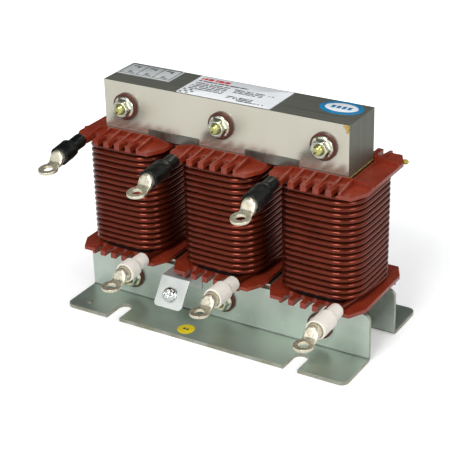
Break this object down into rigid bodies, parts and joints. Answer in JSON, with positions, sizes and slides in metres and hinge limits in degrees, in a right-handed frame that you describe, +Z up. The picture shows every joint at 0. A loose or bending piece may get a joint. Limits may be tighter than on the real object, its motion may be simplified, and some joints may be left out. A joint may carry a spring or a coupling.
{
  "type": "line reactor",
  "caption": "Three-phase line reactor: laminated three-leg core, red bobbins wound with enamelled wire, lugged leads and folded foot brackets.",
  "frame": {"origin": "middle of the bounding box's underside, on the plane that the feet stand on", "axes": "+X along the core from the left coil to the right one, -Y the way the leads come out, +Z up along the legs"},
  "size_m": [0.215, 0.1416, 0.1588],
  "materials": {
    "laminations": "varnished electrical steel laminations, satin",
    "gap_spacer": "glass-fibre laminate",
    "bobbin": "moulded red-brown glass-filled plastic, satin",
    "wire": "enamelled copper wire, glossy red-brown enamel",
    "insulation": "insulation paper",
    "black_sleeve": "black heat-shrink sleeve, semi-gloss",
    "white_sleeve": "white glass-fibre sleeve",
    "tinned_copper": "tinned copper",
    "bracket_zinc": "zinc plated sheet, pale blue-green passivation",
    "yellow_zinc": "yellow-passivated zinc plated steel",
    "bright_zinc": "bright zinc plated steel",
    "insulating_washer": "brown phenolic laminate",
    "keeper_sheet": "dark varnished sheet, glossy",
    "nameplate_film": "white label film",
    "silver_film": "silver label film",
    "blue_film": "blue printed sticker",
    "yellow_film": "yellow sticker"
  },
  "bodies": {
    "reactor": {"lower_yoke": "laminations", "left_leg": "laminations", "middle_leg": "laminations", "right_leg": "laminations", "air_gap_spacers": "gap_spacer", "upper_yoke": "laminations", "left_bobbin": "bobbin", "middle_bobbin": "bobbin", "right_bobbin": "bobbin", "left_inner_winding": "wire", "middle_inner_winding": "wire", "right_inner_winding": "wire", "left_wrap": "insulation", "middle_wrap": "insulation", "right_wrap": "insulation", "left_outer_winding": "wire", "middle_outer_winding": "wire", "right_outer_winding": "wire", "left_start_sleeve": "black_sleeve", "middle_start_sleeve": "black_sleeve", "right_start_sleeve": "black_sleeve", "left_finish_sleeve": "white_sleeve", "middle_finish_sleeve": "white_sleeve", "right_finish_sleeve": "white_sleeve", "left_start_lug": "tinned_copper", "middle_start_lug": "tinned_copper", "right_start_lug": "tinned_copper", "left_finish_lug": "tinned_copper", "middle_finish_lug": "tinned_copper", "right_finish_lug": "tinned_copper", "front_bracket": "bracket_zinc", "rear_bracket": "bracket_zinc", "upper_bolts": "yellow_zinc", "upper_bolt_tubes": "insulating_washer", "upper_washers": "insulating_washer", "upper_nuts": "bright_zinc", "lower_bolts": "yellow_zinc", "lower_bolt_tubes": "insulating_washer", "lower_washers": "insulating_washer", "lower_nuts": "bright_zinc", "left_keeper_strip": "keeper_sheet", "right_keeper_strip": "keeper_sheet", "earth_tab": "bright_zinc", "earth_weld_nut": "bright_zinc", "nameplate": "nameplate_film", "wiring_label": "silver_film", "oval_sticker": "blue_film", "dot_sticker": "yellow_film"},
    "clamp_washer": {"earth_clamp_washer": "bright_zinc"},
    "screw": {"earth_screw": "bright_zinc"}
  },
  "joints": [
    {"name": "clamp_lift", "type": "slide", "parent": "reactor", "child": "clamp_washer", "axis": [0, -0.7986, 0.6018], "range_m": [0, 0.0024]},
    {"name": "screw_turn", "type": "hinge", "parent": "clamp_washer", "child": "screw", "pos_m": [-0.0273, -0.02592, 0.02482], "axis": [0, -0.7986, 0.6018], "range_deg": [0, 1080]}
  ],
  "couplings": [
    {"joint": "screw_turn", "follows": "clamp_lift", "rad_per_m": 7853.9}
  ]
}
